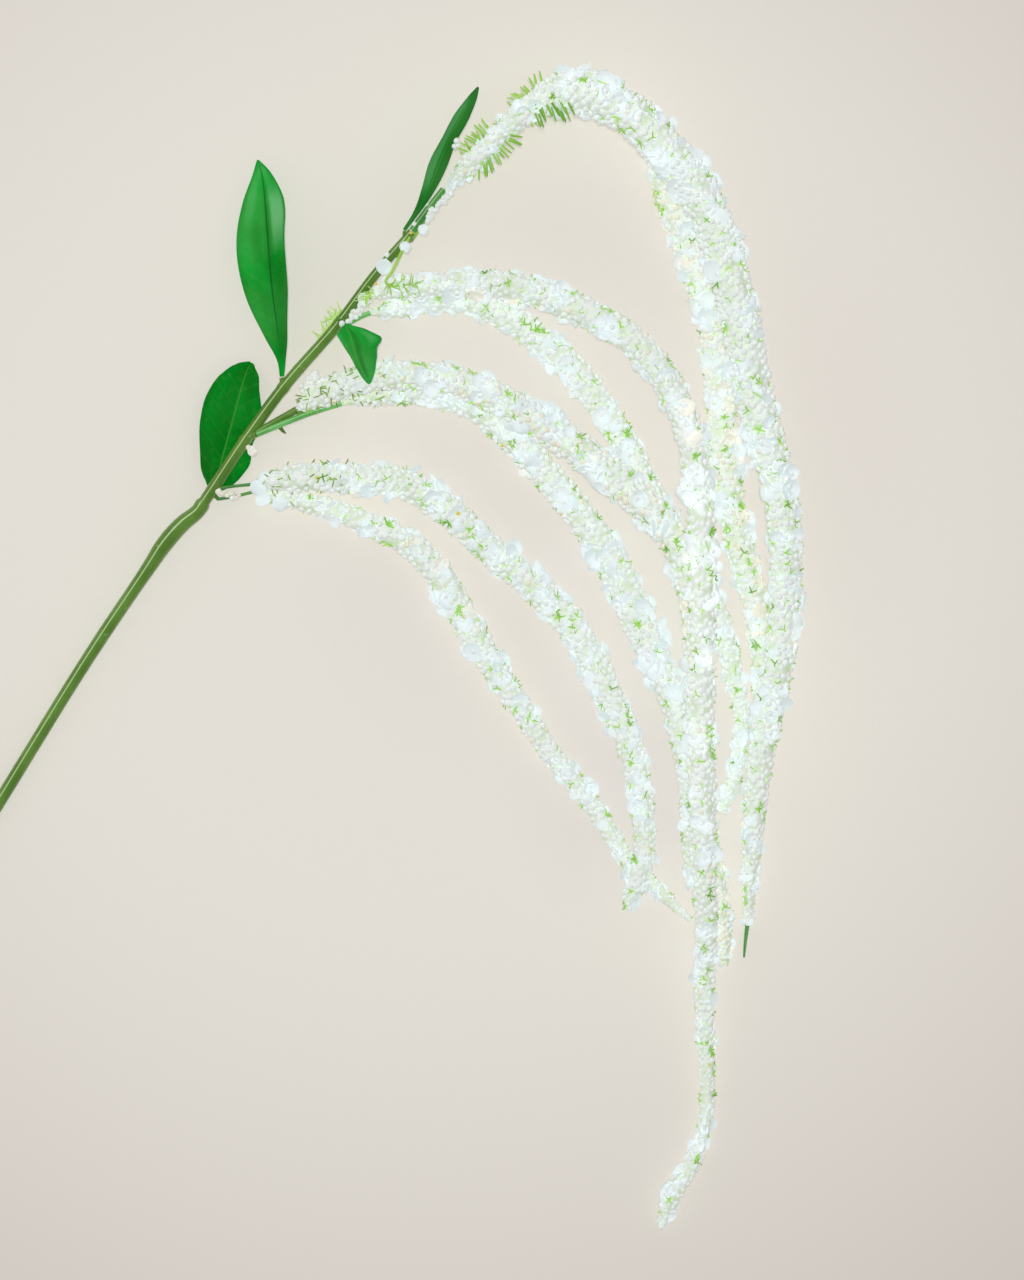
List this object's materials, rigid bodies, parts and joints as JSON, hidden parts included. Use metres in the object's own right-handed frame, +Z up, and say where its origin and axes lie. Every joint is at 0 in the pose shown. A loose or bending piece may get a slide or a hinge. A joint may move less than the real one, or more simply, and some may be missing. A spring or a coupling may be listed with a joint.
{
  "type": "artificial trailing amaranth flower spray",
  "caption": "Cut artificial spray of white trailing amaranth lying flat: green jointed stem, green leaves and long drooping spikes of small white florets.",
  "frame": {"origin": "middle of the footprint, on the surface that the spray lies on", "axes": "+Z up from the surface; +Y along the spray's length, from the cut end of the stem to the top of the arch; +X across it, from the stem to the tips of the spikes"},
  "size_m": [0.4383, 0.4844, 0.0389],
  "materials": {
    "stem": "satin moulded olive green plastic with a parting line",
    "stalk": "satin moulded light green plastic",
    "needle": "soft matt yellow green plastic",
    "leaf": "coated leaf cloth with a satin face and pressed veins",
    "floret": "white foam beads and sheer white petals on light green cores"
  },
  "bodies": {
    "root": {"lower_stem": "stem", "upper_stem": "stem", "stalk_leader": "stalk", "stalk_middle_inner": "stalk", "stalk_lower_outer": "stalk", "stalk_lower_inner": "stalk", "stalk_upper_inner": "stalk", "bare_tip": "stalk", "leader_sprig": "needle", "needle_tuft": "needle", "light_twig": "needle", "leaf_broad": "leaf", "leaf_tall": "leaf", "leaf_folded": "leaf", "leaf_narrow": "leaf", "spike_leader_outer": "floret", "spike_leader_inner": "floret", "spike_upper_long": "floret", "spike_upper_inner": "floret", "spike_middle_outer": "floret", "spike_middle_inner": "floret", "spike_lower_outer": "floret", "spike_lower_inner": "floret"}
  },
  "joints": []
}
